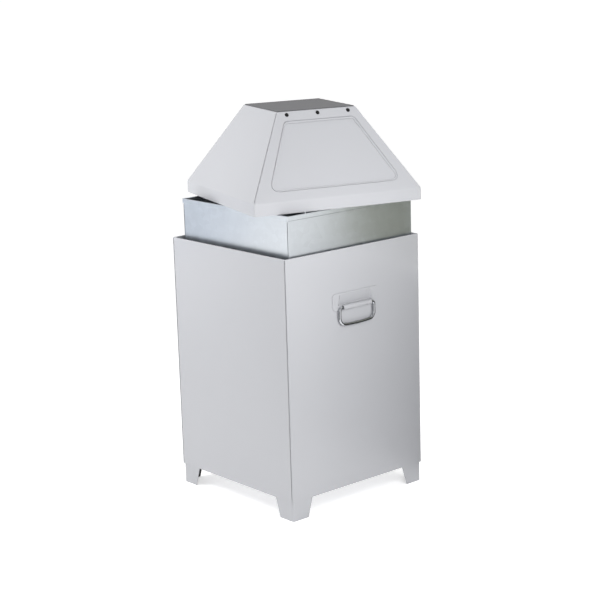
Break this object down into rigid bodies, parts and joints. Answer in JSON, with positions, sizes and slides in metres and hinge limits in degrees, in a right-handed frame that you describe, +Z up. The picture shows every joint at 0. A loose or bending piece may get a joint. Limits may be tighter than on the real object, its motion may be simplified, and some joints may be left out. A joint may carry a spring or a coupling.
{
  "type": "oily waste can",
  "caption": "Square sheet-steel oily waste can on feet, with a lift-out galvanised liner, a pyramid hood with a self-closing push flap, and drop handles.",
  "frame": {"origin": "on the floor, under the middle of the overall box, which is under the centre of the hood; the can's own axis stands 16 mm towards -X and 9 mm towards +Y of it", "axes": "+Z up; -Y is the front, with the flap and the front handle; +X is to the right seen from the front"},
  "size_m": [0.5014, 0.5014, 0.8923],
  "materials": {
    "grey_powder_coat": "light grey powder coat, satin, very fine texture",
    "dark_grey_paint": "matt mid-grey paint",
    "galvanised_sheet": "hot-dip galvanised sheet, soft reflections, faint spangle",
    "plated_wire": "bright zinc-plated round wire",
    "zinc_plated_hinge": "zinc-plated mild steel",
    "black_rivet": "black domed rivet head"
  },
  "bodies": {
    "shell": {"shell_wall_front": "grey_powder_coat", "shell_wall_right": "grey_powder_coat", "shell_wall_back": "grey_powder_coat", "shell_wall_left": "grey_powder_coat", "shell_floor": "grey_powder_coat", "foot_front_left": "grey_powder_coat", "foot_front_right": "grey_powder_coat", "foot_back_right": "grey_powder_coat", "foot_back_left": "grey_powder_coat", "handle_plate_front": "grey_powder_coat", "handle_plate_back": "grey_powder_coat"},
    "bail_front": {"bail_front": "plated_wire"},
    "bail_back": {"bail_back": "plated_wire"},
    "liner": {"liner_wall_front": "galvanised_sheet", "liner_wall_right": "galvanised_sheet", "liner_wall_back": "galvanised_sheet", "liner_wall_left": "galvanised_sheet", "liner_floor": "galvanised_sheet"},
    "hood": {"hood_panel_front": "grey_powder_coat", "hood_panel_right": "grey_powder_coat", "hood_panel_back": "grey_powder_coat", "hood_panel_left": "grey_powder_coat", "hood_top_plate": "dark_grey_paint", "hinge_leaf_fixed": "zinc_plated_hinge", "hinge_pin": "zinc_plated_hinge", "flap_spring": "zinc_plated_hinge", "hinge_rivet_left": "black_rivet", "hinge_rivet_middle": "black_rivet", "hinge_rivet_right": "black_rivet"},
    "flap": {"flap": "grey_powder_coat", "hinge_leaf_moving": "zinc_plated_hinge"}
  },
  "joints": [
    {"name": "liner_lift", "type": "slide", "parent": "shell", "child": "liner", "axis": [0, 0, 1], "range_m": [-0.0885, 0.44]},
    {"name": "hood_lift", "type": "slide", "parent": "liner", "child": "hood", "axis": [0, 0, 1], "range_m": [0, 0.3]},
    {"name": "flap_hinge", "type": "hinge", "parent": "hood", "child": "flap", "pos_m": [-0.02824, -0.09535, 0.87307], "axis": [0.9588, -0.284, 0], "range_deg": [0, 65], "stiffness_Nm_per_rad": 0.5, "springref_deg": -57.3},
    {"name": "front_bail_hinge", "type": "hinge", "parent": "shell", "child": "bail_front", "pos_m": [-0.016, -0.1964, 0.462], "axis": [-1, 0, 0], "range_deg": [0, 95]},
    {"name": "back_bail_hinge", "type": "hinge", "parent": "shell", "child": "bail_back", "pos_m": [-0.016, 0.2144, 0.462], "axis": [1, 0, 0], "range_deg": [0, 95]}
  ]
}
